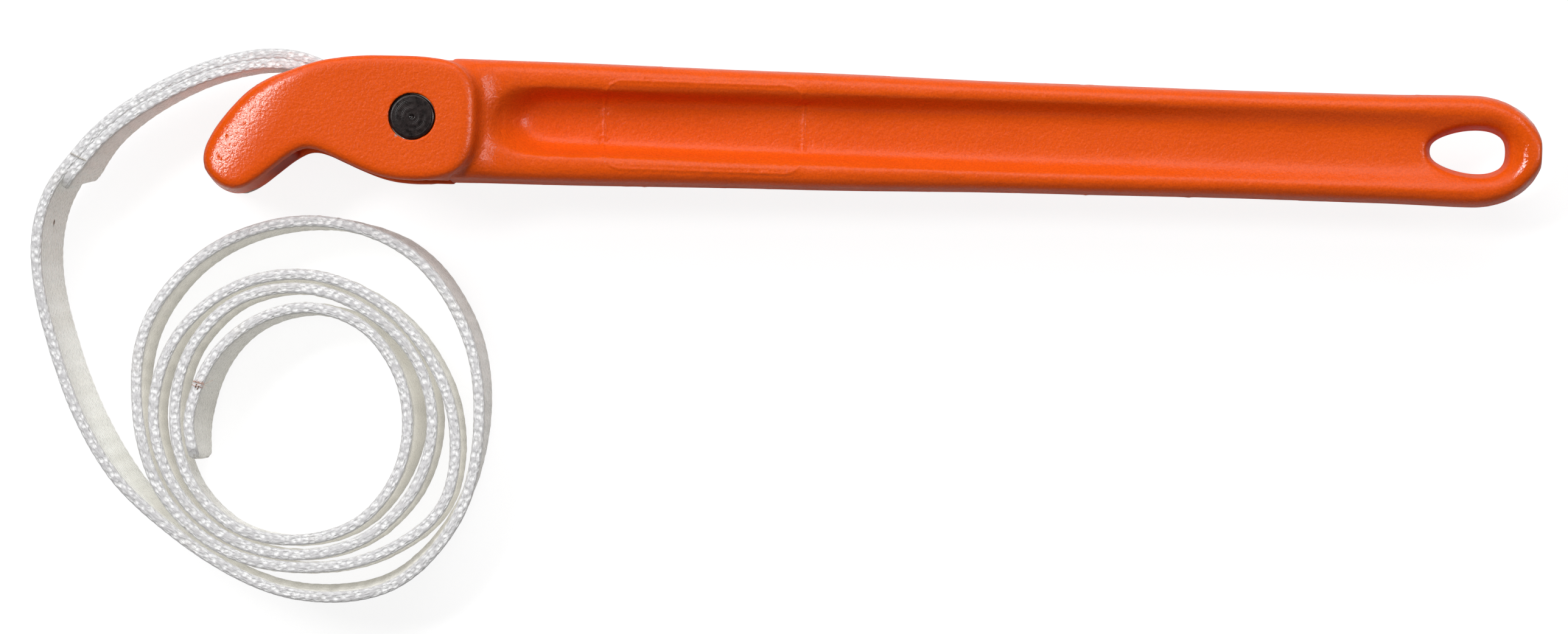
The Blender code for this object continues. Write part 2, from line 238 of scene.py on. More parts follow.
def webbing_look():
    """White nylon webbing: bright satin yarns on the edges, and duller faces with a painted tint, cool by the
    casting and warmer in the coil. Painted shade greys the hollows between the yarn beads, the grooves
    between the ribs and crease bands, and a warm emission makes it glow as painted light.
    """
    look = Look("white_webbing")
    wall = look.attribute("wall")
    line = look.node("CombineXYZ", {"X": look.attribute("along"), "Y": look.attribute("across")}).outputs[0]
    fibres = look.noise(1.0, 2.0, 0.6, line, (900, 3200, 1))
    stains = look.noise(70, 4.0, 0.6)

    bead = yarn_beads(look)
    yarn = look.math("MULTIPLY", bead, look.math("SUBTRACT", 1.0, wall))
    ribs = look.math("MULTIPLY", wall_ribs(look), wall)
    form = look.math("ADD", yarn, ribs)

    white = look.ramp(fibres, (0.34, (0.76, 0.76, 0.77)), (0.56, (0.97, 0.97, 0.975)))
    # Painted shade: the yarn colour greys in the hollows between the beads.
    white = look.mix(look.map(bead, 0.10, 0.56, 0.80, 0.0), white, (0.52, 0.51, 0.53))
    # Painted light: the faces are tinted cool by the casting, against its orange bounce, and warm in the
    # coil, for the light glowing through its turns.
    coil_light_tint = look.map(look.attribute("along"), COIL_LIGHT_FROM, COIL_LIGHT_TO, 0.0, 1.0)
    side = look.mix(coil_light_tint, (0.81, 0.85, 0.86), (0.90, 0.885, 0.85))
    side = look.mix(look.map(fibres, 0.3, 0.7, 0.30, 0.0), side, (0.66, 0.65, 0.62))
    # Painted shade: darker crosswise bands on the faces, standing for shade in creases that the mesh does not
    # have.
    crease_shade = look.noise(1.0, 1.0, 0.5, line, (120, 7, 1))
    side = look.mix(look.map(crease_shade, 0.50, 0.68, 0.0, 0.55), side, (0.62, 0.60, 0.55))
    # Painted shade: the faces darken in the grooves between the ribs.
    side = look.mix(look.map(ribs, 0.1, 0.9, 0.50, 0.0), side, (0.60, 0.59, 0.55))
    colour = look.mix(wall, white, side)
    colour = look.mix(look.map(stains, 0.58, 0.80, 0.0, 0.30), colour, (0.66, 0.61, 0.51))
    look.set(Base_Color=colour, Roughness=look.map(fibres, 0.3, 0.7, 0.18, 0.38))
    normal = look.bump(form, 1.0, 0.00034)
    look.set(Normal=look.bump(fibres, 1.0, 0.00013, normal))
    # Painted light: a warm emission makes the strap glow, the edges less than the faces and the faces a
    # little less out in the coil.
    look.set(Sheen_Weight=0.15, IOR=1.5, Emission_Color=(0.93, 0.91, 0.84, 1.0))
    glow = look.math("MULTIPLY_ADD", coil_light_tint, -0.035, 0.21)
    look.set(Emission_Strength=look.math("MULTIPLY_ADD", look.math("SUBTRACT", glow, 0.10), wall, 0.10))
    return look.material


def thread_look(name, low, high):
    """Twisted thread: fine filaments, and colour that varies along it."""
    look = Look(name)
    tone = look.noise(1400, 3.0, 0.6)
    look.set(Base_Color=look.ramp(tone, (0.35, low), (0.65, high)))
    look.set(Roughness=look.map(tone, 0.3, 0.7, 0.55, 0.8), Sheen_Weight=0.2)
    look.set(Normal=look.bump(look.noise(6000, 2.0, 0.5), 0.4, 0.00004))
    return look.material


# Meshes from arrays


def shown(name, mesh, look, attributes=None):
    """The object that shows a mesh with its look, smooth shaded, with float attributes on its points."""
    for key, values in (attributes or {}).items():
        mesh.attributes.new(key, "FLOAT", "POINT").data.foreach_set("value", values.astype(np.float32))
    mesh.name = name
    mesh.shade_smooth()
    mesh.materials.clear()
    mesh.materials.append(look)
    made = bpy.data.objects.new(name, mesh)
    bpy.context.scene.collection.objects.link(made)
    return made


def new_mesh(name, points, faces):
    mesh = bpy.data.meshes.new(name)
    mesh.from_pydata(points.tolist(), [], faces)
    return mesh


def get_points(mesh):
    found = np.zeros(len(mesh.vertices) * 3, np.float32)
    mesh.vertices.foreach_get("co", found)
    return found.reshape(-1, 3).astype(float)


def set_points(mesh, points):
    mesh.vertices.foreach_set("co", points.astype(np.float32).ravel())
    mesh.update()


def get_normals(mesh):
    found = np.zeros(len(mesh.vertices) * 3, np.float32)
    mesh.vertex_normals.foreach_get("vector", found)
    return found.reshape(-1, 3).astype(float)


def smoothed(mesh, points, rounds, share=None):
    """Points moved towards the mean of their neighbours, each by its own share."""
    edges = np.zeros(len(mesh.edges) * 2, np.int32)
    mesh.edges.foreach_get("vertices", edges)
    a, b = edges.reshape(-1, 2).T
    count = np.bincount(a, minlength=len(points)) + np.bincount(b, minlength=len(points))
    weight = 0.5 if share is None else 0.5 * share[:, None]
    for _ in range(rounds):
        total = np.zeros_like(points)
        for axis in range(3):
            total[:, axis] = np.bincount(a, points[b, axis], len(points))
            total[:, axis] += np.bincount(b, points[a, axis], len(points))
        points = points + (total / count[:, None] - points) * weight
    return points


# Casting. The panel is left, right, low, high and corner radius, the pocket is left, right and half height,
# and a pit is its place and radius.

VOXEL = 0.00058
SLOT_HALF = 13.6
SLOT_LEFT = -33.0
SLOT_RIGHT = 9.2
PANEL = (42.6, 87.4, -10.0, 9.75, 4.2)
PANEL_HIGH = 0.12
PANEL_HALF = 0.34
PANEL_NEAR = 1.3
PITS = [(-41.3, -5.7, 0.17), (-42.8, -10.4, 0.22)]
PIT_DEEP = 0.20
PIT_RIM = 0.10
TOP_SKIN = 2
BORE_R = 5.25
BORE_ROUND = 0.35
EVEN_ROUNDS = 7
POCKET_ROUNDS = 36
POCKET = (20.0, 244.0, 10.5)
POCKET_RIM_AT = [24, 45, 85, 140, 200, 250]
POCKET_RIM = [12.6, 10.6, 8.6, 7.4, 6.7, 6.5]
HANG_HOLE_X = 236.4
HANG_HOLE_HALF = (9.4, 5.8)
SOFT_DEPTH = 1.4
NECK_X = 14.5
NECK_ROUNDS = 40
NECK_REACH = 5
AROUND_HOLE = (225.5, 248.0, 7.5)
HOLE_WAIST = 0.75
WAIST_HALF = 4.6
NOSE_FROM = -28
NOSE_BULGE = 0.42
PART_LINE_HIGH = 0.16
PART_LINE_HALF = 0.45
ROLL_START = (-27.0, 2.0)
ROLL_WAY = (-0.87, 0.49)
ROLL = 0.0118
END_BAND = (246.5, 251.2)
JAW_Y = -13.95
GRAINS_DRAWN = 900
GRAINS_USED = 520
CHIP_AT = (-38.2, 9.0)
CHIP_HALF = (3.4, 8.0)
SPECK_AT = (-3.4, -4.3)
SPECK_R = 0.35


def panel_distance(x, y):
    """How far points are from the panel's outline, a rounded rectangle."""
    left, right, low, high, corner = PANEL
    qx = np.abs(x - (left + right) / 2) - (right - left) / 2 + corner
    qy = np.abs(y - (low + high) / 2) - (high - low) / 2 + corner
    outside = np.hypot(np.maximum(qx, 0), np.maximum(qy, 0))
    return np.abs(outside + np.minimum(np.maximum(qx, qy), 0) - corner)


def local(points):
    """Array columns in millimetres from the pin's axis, and the height."""
    return (points[:, 0] - PIN_AT[0]) / MM, (points[:, 1] - PIN_AT[1]) / MM, points[:, 2] / MM


def in_slot(x, z):
    """How far inside the strap slot points are, from 0 at its mouth to 1 deep in it."""
    deep = np.clip((SLOT_HALF - np.abs(z - MID_Z)) / 0.8, 0, 1)
    long = np.clip((x - SLOT_LEFT) / 2.0, 0, 1) * np.clip(SLOT_RIGHT - x, 0, 1)
    return deep * long


def fine_noise(points, scale, seed):
    """Smooth noise at each point, one value per point, from -1 to 1."""
    offset = Vector((seed * 17.3, seed * 9.1, seed * 5.7))
    return np.array([noise.noise(Vector(p) * scale + offset) for p in points.tolist()])


def evenly_meshed(node, voxel):
    """A copy of a CAD node with even small faces."""
    bm = bmesh.new()
    bm.from_mesh(frame["nodes"][node].data)
    bmesh.ops.remove_doubles(bm, verts=bm.verts, dist=0.000002)
    mesh = bpy.data.meshes.new(node + "_even")
    bm.to_mesh(mesh)
    bm.free()
    draft = bpy.data.objects.new(node + "_even", mesh)
    bpy.context.scene.collection.objects.link(draft)
    remesh = draft.modifiers.new("even", "REMESH")
    remesh.mode = "VOXEL"
    remesh.voxel_size = voxel
    made = bpy.data.meshes.new_from_object(draft.evaluated_get(bpy.context.evaluated_depsgraph_get()))
    bpy.data.objects.remove(draft)
    return made


def refined(mesh, near):
    """The mesh with the faces where near() holds cut finer."""
    bm = bmesh.new()
    bm.from_mesh(mesh)
    points = np.array([v.co for v in bm.verts])
    wanted = near(points)
    edges = [e for e in bm.edges if wanted[e.verts[0].index] and wanted[e.verts[1].index]]
    bmesh.ops.subdivide_edges(bm, edges=edges, cuts=2, use_grid_fill=True)
    bm.to_mesh(mesh)
    bm.free()
    return mesh


def fine_area(points):
    """Where the casting is meshed finer: along the panel's outline, at the pits and at the bore's mouths."""
    x, y, z = local(points)
    near = (panel_distance(x, y) < PANEL_NEAR) & (z > MID_Z)
    for px, py, radius in PITS:
        near |= (np.hypot(x - px, y - py) < radius * 4) & (z > HEAD_THICK - TOP_SKIN)
    near |= (np.abs(np.hypot(x, y) - BORE_R) < 1.1) & (np.abs(z - MID_Z) > MID_Z - 1.6)
    return near


def in_pocket(x, y, z):
    """How far into the handle's pockets points are, from 0 on the rim to 1 on the slopes and floor."""
    left, right, half = POCKET
    rim = np.interp(x, POCKET_RIM_AT, POCKET_RIM)
    deep = np.clip((rim - np.abs(z - MID_Z) - 0.6) / SOFT_DEPTH, 0, 1)
    from_hole = np.hypot((x - HANG_HOLE_X) / HANG_HOLE_HALF[0], y / HANG_HOLE_HALF[1])
    clear_of_hole = np.clip((from_hole - 1.02) / 0.25, 0.05, 1)
    return deep * (x > left) * (x < right) * (np.abs(y) < half) * clear_of_hole


def sharp_bore(points):
    """The pin bore made round again, with a small even rounding at each mouth."""
    x, y, z = local(points)
    away = np.hypot(x, y)
    high = np.abs(z - MID_Z)
    wall = (away < BORE_R + 0.6) & (high < MID_Z - BORE_ROUND) & (high > 13.5)
    face = (away < BORE_R + 2.2) & (high >= MID_Z - BORE_ROUND * 1.01 - 0.5) & ~wall
    fixed = points.copy()
    grow = np.where(wall, BORE_R / np.maximum(away, 1), 1)
    near = face & (away < BORE_R + 0.15)
    grow = np.where(near, (BORE_R + 0.05) / np.maximum(away, 1), grow)
    fixed[:, 0] = PIN_AT[0] + x * grow * MM
    fixed[:, 1] = PIN_AT[1] + y * grow * MM
    into = np.clip(BORE_R + BORE_ROUND - away * grow, 0, BORE_ROUND)
    level = MID_Z - (BORE_ROUND - np.sqrt(BORE_ROUND**2 - into**2))
    fixed[:, 2] = np.where(face, (MID_Z + np.sign(z - MID_Z) * level) * MM, points[:, 2])
    return fixed


def cast_body(look):
    mesh = refined(evenly_meshed("wrench_body", VOXEL), fine_area)
    points = get_points(mesh)
    x, y, z = local(points)
    points = smoothed(mesh, points, EVEN_ROUNDS)
    points = smoothed(mesh, points, NECK_ROUNDS, np.clip(1 - np.abs(x - NECK_X) / NECK_REACH, 0, 1))
    points = smoothed(mesh, points, POCKET_ROUNDS, in_pocket(x, y, z))
    points = sharp_bore(points)
    set_points(mesh, points)
    normals = get_normals(mesh)
    x, y, z = local(points)
    slot = in_slot(x, z)
    past = np.clip((x - ROLL_START[0]) * ROLL_WAY[0] + (y - ROLL_START[1]) * ROLL_WAY[1], 0, None)
    out = surface_relief(points, normals, slot) + casting_grains(points)
    points = points + normals * (out * MM)[:, None]
    points[:, 2] -= past**2 * ROLL * np.clip((z - MID_Z) / MID_Z, 0, 1) * MM
    points[:, 1] -= jaw_push(x, y, z, normals) * MM
    set_points(mesh, points)
    end_band = 1.5 * np.clip(x - END_BAND[0], 0, 1) * np.clip(END_BAND[1] - x, 0, 1)
    looks = {
        "bare": bare_metal(x, y, z, normals),
        # inside: the slot mask, which the paint also uses for its painted shade in the slot.
        "inside": slot,
        "rolled": np.clip(past / 5, 0, 1) + end_band,
    }
    made = shown("cast_body", mesh, look, looks)
    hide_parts("wrench_body")
    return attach(made, "wrench")


def surface_relief(points, normals, slot):
    """How far the casting stands out at each point: lumps, nose, hang hole, part line, panel and pits."""
    x, y, z = local(points)
    wall = np.clip(1 - np.abs(normals[:, 2]) * 2.5, 0, 1)
    out = fine_noise(points, 200, 1) * 0.012
    out += fine_noise(points, 640, 2) * 0.006
    nose = np.clip((NOSE_FROM - x) / 4, 0, 1)
    out += wall * nose * (1 - slot) * NOSE_BULGE * (1 - np.abs(z - MID_Z) / MID_Z)
    left, right, half = AROUND_HOLE
    at_hole = (x > left) & (x < right) & (np.abs(y) < half)
    out += wall * at_hole * HOLE_WAIST * np.clip(1 - np.abs(z - MID_Z) / WAIST_HALF, 0, 1)
    out += wall * (1 - slot) * PART_LINE_HIGH * np.exp(-((z - MID_Z) / PART_LINE_HALF) ** 2)
    face = np.clip(normals[:, 2] * 3 - 1, 0, 1)
    out += face * (z > MID_Z) * PANEL_HIGH * np.exp(-((panel_distance(x, y) / PANEL_HALF) ** 2))
    for px, py, radius in PITS:
        away = np.hypot(x - px, y - py) / radius
        pit = PIT_RIM * np.exp(-((away - 1.5) ** 2) * 4) - PIT_DEEP * np.exp(-(away**2))
        out += (z > HEAD_THICK - TOP_SKIN) * pit
    return out


def jaw_push(x, y, z, normals):
    """How far the jaw's lower corner stands out below the cheek's rounded edge, to meet the handle's wall."""
    level = np.clip((MID_Z - 1.0 - np.abs(z - MID_Z)) / 3.5, 0, 1)
    facing = np.clip(-normals[:, 1] * 1.5, 0, 1) * (np.abs(normals[:, 0]) < 0.8)
    short = np.clip(y - JAW_Y, 0, 1.6) * (y < -10)
    return short * level * facing * np.clip((x + 1.0) / 3, 0, 1) * np.clip(9.4 - x, 0, 1)


def casting_grains(points):
    """Small grains that stand out under the paint, and a few hollows, anywhere but inside the slot."""
    tree = kdtree.KDTree(len(points))
    for i, p in enumerate(points.tolist()):
        tree.insert(p, i)
    tree.balance()
    pick = random.Random(12)
    out = np.zeros(len(points))
    order = pick.sample(range(len(points)), GRAINS_DRAWN)
    x, _, z = local(points)
    for i in order[:GRAINS_USED]:
        if -31 < x[i] < 9 and abs(z[i] - MID_Z) < SLOT_HALF:
            continue
        size = pick.uniform(0.30, 0.75)
        high = pick.uniform(0.03, 0.11) * (1 if pick.random() < 0.8 else -0.8)
        for _, j, away in tree.find_range(points[i].tolist(), size * 2.2 * MM):
            out[j] += high * math.exp(-((away / MM / size) ** 2))
    return out


def bare_metal(x, y, z, normals):
    """1 where the paint has chipped off: the nose's lower corner and a speck by the pin."""
    edge = fine_noise(np.stack([x, y, z], 1), 0.9, 5) * 1.6
    corner = np.hypot((x - CHIP_AT[0]) / CHIP_HALF[0], (z - CHIP_AT[1]) / CHIP_HALF[1])
    low = (y < -13.0) & (np.abs(normals[:, 2]) < 0.8)
    chip = np.clip((1.0 + edge * 0.25 - corner) * 3, 0, 1) * low
    from_speck = np.hypot(x - SPECK_AT[0], y - SPECK_AT[1]) / SPECK_R
    speck = np.clip(1.3 - from_speck, 0, 1) * (z > HEAD_THICK - 1)
    return np.maximum(chip, speck * 0.8)


# Pin

PIN_R = 5.05
PIN_SIDES = 128
MARK_STEP = 0.10


def turned_pin(look):
    """A lathe profile with fine tool marks and a small centre on each end."""
    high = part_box("pivot_pin")[1].z / MM - MID_Z
    profile = [(0.0, high - 0.42), (0.22, high - 0.40), (0.45, high - 0.16), (0.60, high - 0.05)]
    radius = 0.75
    while radius < PIN_R - 0.55:
        mark = 0.010 * math.cos(radius / 0.33 * 2 * math.pi) + 0.012 * math.sin(radius * 4.3)
        profile.append((radius, high - 0.05 - 0.003 * radius * radius + mark))
        radius += MARK_STEP
    profile += [(PIN_R - 0.48, high - 0.12), (PIN_R - 0.30, high - 0.16), (PIN_R - 0.10, high - 0.30)]
    profile += [(PIN_R, high - 0.52), (PIN_R, high - 6), (PIN_R, 0)]
    profile = profile + [(r, -z) for r, z in reversed(profile[:-1])]
    sides = PIN_SIDES
    turns = np.arange(sides) * 2 * math.pi / sides
    rings = np.array(profile)[1:-1]
    count = len(rings)
    points = np.zeros((count, sides, 3))
    points[:, :, 0] = rings[:, :1] * np.cos(turns) * MM + PIN_AT[0]
    points[:, :, 1] = rings[:, :1] * np.sin(turns) * MM + PIN_AT[1]
    points[:, :, 2] = (rings[:, 1:] + MID_Z) * MM
    points = points.reshape(-1, 3)
    i = np.arange(count - 1)[:, None] * sides
    j = np.arange(sides)[None, :]
    k = (j + 1) % sides
    faces = np.stack([i + j, i + sides + j, i + sides + k, i + k], -1).reshape(-1, 4).tolist()
    top = len(points)
    ends = np.array([placed(0, 0, MID_Z + profile[0][1]), placed(0, 0, MID_Z + profile[-1][1])])
    points = np.vstack([points, ends])
    last = (count - 1) * sides
    for a in range(sides):
        b = (a + 1) % sides
        faces.append([top, a, b])
        faces.append([top + 1, last + b, last + a])
    made = shown("turned_pin", new_mesh("turned_pin", points, faces), look)
    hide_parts("pivot_pin")
    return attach(made, "wrench")


# Strap route: the centre of the strap's upper edge in plan, how far it leans out past the lower one, and the
# height of the lower edge. It is the CAD source's, apart from the leans of the inner turns and the tip.

STRAP_WIDE = 25.0
STRAP_THICK = 2.4
LAYER_APART = 2.05
LAP_SLANT = 4.4
LAP_EASE = 15.0
EYE_GAP = 0.25
EYE_R = PIN_R + EYE_GAP + STRAP_THICK / 2
EYE_FROM = 228
EYE_TO = 444
EYE_STEPS = 18
TO_EYE = [(-17.0, 5.9), (-10.5, 0.6)]
FROM_EYE = (-7.4, 7.3)
ROUTE_PIECES = 3
ROUTE = [
    (-15.4, 8.7, 0.0, 6.5), (-20.6, 11.0, 0.0, 6.5), (-25.8, 12.8, 0.0, 6.5), (-32.1, 13.3, 0.0, 6.5),
    (-39.1, 12.3, 0.0, 6.4), (-46.2, 10.2, 0.0, 6.3), (-53.3, 7.1, 0.1, 6.1), (-60.4, 3.1, 0.3, 5.9),
    (-67.3, -1.8, 0.8, 5.6), (-72.0, -6.2, 1.4, 5.2), (-75.8, -10.8, 2.0, 4.8), (-79.2, -15.2, 2.6, 4.3),
    (-81.7, -19.6, 3.0, 3.8), (-83.4, -25.2, 3.2, 3.3), (-84.0, -31.4, 3.2, 2.8), (-83.5, -38.1, 3.2, 2.3),
    (-82.1, -45.0, 3.2, 1.9), (-80.1, -51.6, 3.2, 1.6), (-77.6, -59.0, 3.3, 1.4), (-73.4, -69.0, 3.5, 1.3),
    (-66.8, -80.0, 3.4, 1.2),
]
LAP_END = 11
SEAM = 10
COIL_CENTRE = (-22.7, -68.5)
COIL_FIRST_ANGLE = 210
COIL_STEP = 30
COIL_LOW = 1.2
COIL = [
    [(41.0, 2.4), (37.4, 0.6), (39.4, 1.5), (42.4, 2.2), (41.0, 1.6)],
    [(39.4, -0.4), (41.5, -1.4), (44.7, -1.4), (45.0, 0.3), (43.8, 0.6), (41.7, 1.2),
     (37.4, 0.5), (36.0, 0.4), (34.4, 0.4), (33.2, 0.1), (34.6, 0.0), (36.9, 0.0)],
    [(33.9, -0.4), (31.6, -0.5), (31.6, 0.0), (32.8, 0.2), (33.9, 0.3), (34.4, 0.4),
     (34.0, 0.5), (32.8, 0.4), (31.5, 0.3), (30.4, 0.1), (30.0, 0.0), (29.4, -0.2)],
    [(29.0, -0.5), (28.7, -0.8), (28.3, -0.9), (29.6, -0.4), (30.9, 0.2), (30.2, 0.3),
     (29.1, 0.4), (29.1, 0.3), (28.6, 0.2), (27.0, 0.0), (26.1, -0.3), (24.4, -0.9)],
    [(23.4, -2.2), (23.7, -2.4), (25.0, -1.1), (25.4, 0.1), (24.9, 0.6), (25.0, 2.0), (25.9, 2.8)],
]
TIP_PAST = 21
TIP = (26.1, 1.5)
TIP_THREAD = 17.6
FACE_STITCH = (-82.7, -25.5)


def coil_points():
    """Route points for the coil, whose table gives radius and lean at even angles, a list for each turn."""
    points = []
    angle = COIL_FIRST_ANGLE
    for turn in COIL:
        for radius, lean in turn:
            points.append((angle, radius, lean))
            angle += COIL_STEP
    points.append((angle - COIL_STEP + TIP_PAST, *TIP))
    found = []
    for angle, radius, lean in points:
        x = COIL_CENTRE[0] + radius * math.cos(math.radians(angle))
        y = COIL_CENTRE[1] + radius * math.sin(math.radians(angle))
        found.append((x, y, lean, COIL_LOW))
    return found


def smooth_through(points, pieces):
    """Catmull-Rom points through the given ones, with pieces steps between each two."""
    rows = np.array(points, float)
    rows = np.vstack([rows[0] * 2 - rows[1], rows, rows[-1] * 2 - rows[-2]])
    out = []
    for i in range(1, len(rows) - 2):
        a, b, c, d = rows[i - 1 : i + 3]
        for k in range(pieces):
            t = k / pieces
            square = (2 * a - 5 * b + 4 * c - d) * t * t
            cube = (3 * b - a - 3 * c + d) * t**3
            out.append(0.5 * (2 * b + (c - a) * t + square + cube))
    out.append(rows[-2])
    return np.array(out)


def right_of(path):
    """The level direction to the right of travel at each point of a path."""
    ahead = np.gradient(path[:, :2], axis=0)
    flat = np.stack([ahead[:, 1], -ahead[:, 0]], 1)
    return flat / np.linalg.norm(flat, axis=1)[:, None]


def strap_path():
    """The whole strap from the lapped end, round the pin and out to the coil's cut end."""
    route = smooth_through(ROUTE + coil_points(), ROUTE_PIECES)
    lap = LAP_END * ROUTE_PIECES + 1
    inner = route[: lap + 1].copy()
    inner[:, :2] -= right_of(inner) * LAYER_APART
    inner[:, 2] *= -1
    inner = inner[ROUTE_PIECES:][::-1]
    low = ROUTE[0][3]
    eye = []
    for i in range(EYE_STEPS + 1):
        angle = math.radians(EYE_FROM + (EYE_TO - EYE_FROM) * i / EYE_STEPS)
        eye.append((EYE_R * math.cos(angle), EYE_R * math.sin(angle), 0.0, low))
    to_eye = [(x, y, 0.0, low) for x, y in TO_EYE]
    whole = [*inner, *to_eye, *eye, (*FROM_EYE, 0.0, low), *route]
    return even_steps(np.array([list(p) for p in whole]))


STEP = 0.312
EASE_ROUNDS = 60


def outer_length_at(path, x, y):
    """The length along the strap where it passes nearest a point, on its way out from the pin."""
    away = np.hypot(path[:, 0] - x, path[:, 1] - y)
    lapped = len(path) // 8
    return (lapped + np.argmin(away[lapped:])) * STEP


def even_steps(path):
    """The path resampled at STEP and eased, so that it bends without corners."""
    dense = smooth_through(path, 10)
    for _ in range(EASE_ROUNDS):
        dense[1:-1] += (dense[:-2] + dense[2:] - 2 * dense[1:-1]) * 0.25
    lengths = np.concatenate([[0], np.cumsum(np.linalg.norm(np.diff(dense[:, :2], axis=0), axis=1))])
    count = int(round(lengths[-1] / STEP))
    at = np.linspace(0, lengths[-1], count + 1)
    return np.stack([np.interp(at, lengths, dense[:, i]) for i in range(4)], 1)


# Strap surface: yarn bumps on the two edges, ribs on the two faces.

PITCH = STEP * 7
EDGE_POINTS = 15
EDGE_HIGH = 0.95
WALL_STEPS = 25
CORE = 1.21
EDGE_BUMP = 0.24
ROW_AT = 0.54
RIB = 0.12
RIB_PITCH = 1.85
END_CORNER = 3.2
END_THIN = 0.8


def section():
    """The strap's section, once round: side, height, outward normal, and 1 on an edge or 0 on a face."""
    rows = []
    for top in (True, False):
        for i in range(EDGE_POINTS):
            angle = math.pi * i / (EDGE_POINTS - 1)
            c, s = math.cos(angle), math.sin(angle)
            side = CORE * math.copysign(abs(c) ** 0.6, c)
            rise = EDGE_HIGH * s**0.6
            t = STRAP_WIDE - EDGE_HIGH + rise if top else EDGE_HIGH - rise
            if not top:
                side, c = -side, -c
            rows.append((side, t, c, s if top else -s, 1.0))
        for i in range(1, WALL_STEPS):
            share = i / WALL_STEPS
            t = EDGE_HIGH + (STRAP_WIDE - 2 * EDGE_HIGH) * (1 - share if top else share)
            side = -CORE if top else CORE
            rows.append((side, t, -1.0 if top else 1.0, 0.0, 0.0))
    return np.array(rows)


def wobble(along, scale, y, z):
    """Slow noise along the strap, as a column."""
    return np.array([noise.noise(Vector((a * scale, y, z))) for a in along[:, 0]])[:, None]


def yarn_relief(shape, along):
    """How far yarns and ribs stand out at each ring and section point, and the values that its look reads."""
    side, t, _, normal_up, on_edge = shape.T
    ripple = wobble(along, 0.42, 8.0, 0.0)
    uneven = wobble(along, 0.33, 0.0, 9.0)
    # Two rows of yarn bumps on each edge, leaning into a chevron.
    row = np.where(side >= 0, 1.0, -1.0)
    inward = np.clip(np.abs(side) / CORE, 0, 1)
    phase = along / PITCH + 0.36 * inward[None, :] + (0.16 + 0.14 * uneven) * row[None, :]
    oval = np.clip(1 - ((inward - ROW_AT) / ROW_AT) ** 2, 0, 1) ** 0.7
    edge_shape = (0.5 + 0.5 * np.cos(2 * np.pi * phase)) ** 0.45 * oval[None, :]
    edge_shape = edge_shape * (0.45 + 0.55 * np.abs(normal_up[None, :])) * (1 + 0.35 * uneven)
    # Ribs that run lengthwise in a zig-zag on each face, and crosswise bands.
    zig = np.abs(((along / (PITCH * 2)) % 1.0) - 0.5) * 2
    rib_phase = t[None, :] / RIB_PITCH + 0.28 * zig
    stagger = np.pi * np.round(t / RIB_PITCH)
    wall_shape = 0.5 + 0.5 * np.cos(2 * np.pi * rib_phase)
    wall_shape = 0.6 * wall_shape + 0.4 * (0.5 + 0.5 * np.cos(2 * np.pi * along / PITCH + stagger))
    bands = np.cos(2 * np.pi * along / PITCH) * (0.5 + 0.8 * uneven)
    relief = on_edge[None, :] * EDGE_BUMP * edge_shape + (1 - on_edge[None, :]) * RIB * wall_shape
    relief = relief + (1 - on_edge[None, :]) * (0.16 * ripple + 0.05 * bands)
    looks = {
        "phase": phase,
        "rib": rib_phase,
        "inward": inward[None, :],
        "raised": np.clip(0.7 * wall_shape + 0.3 * (0.5 + 0.5 * bands), 0, 1),
        "wall": (1 - on_edge * np.clip(np.abs(normal_up) / 0.35, 0, 1))[None, :],
        "along": along * MM,
        "across": (np.arange(len(shape)) * 0.6 * MM)[None, :],
    }
    return relief, looks


def strap_frame(path):
    """For each point of the path: its lower edge, its rise per millimetre of width, and its side."""
    right = right_of(path)
    upper = np.column_stack([path[:, :2], path[:, 3] + STRAP_WIDE])
    lower = np.column_stack([path[:, :2] - right * path[:, 2:3], path[:, 3]])
    rise = (upper - lower) / STRAP_WIDE
    side_way = np.column_stack([right, np.zeros(len(path))])
    unit = rise / np.linalg.norm(rise, axis=1)[:, None]
    side_way -= unit * np.sum(side_way * unit, axis=1)[:, None]
    side_way /= np.linalg.norm(side_way, axis=1)[:, None]
    return lower, rise, side_way


def end_caps(last, ring):
    """Quads that close the two cut ends, where each point on the right has its partner on the left."""
    half = ring // 2
    right_run = [EDGE_POINTS // 2 - n for n in range(half)]
    left_run = [EDGE_POINTS // 2 + 1 + n for n in range(half)]
    caps = []
    for start, turned in ((0, False), (last, True)):
        for n in range(half - 1):
            corners = (right_run[n], right_run[n + 1], left_run[n + 1], left_run[n])
            quad = [start + v % ring for v in corners]
            caps.append(quad[::-1] if turned else quad)
    return caps


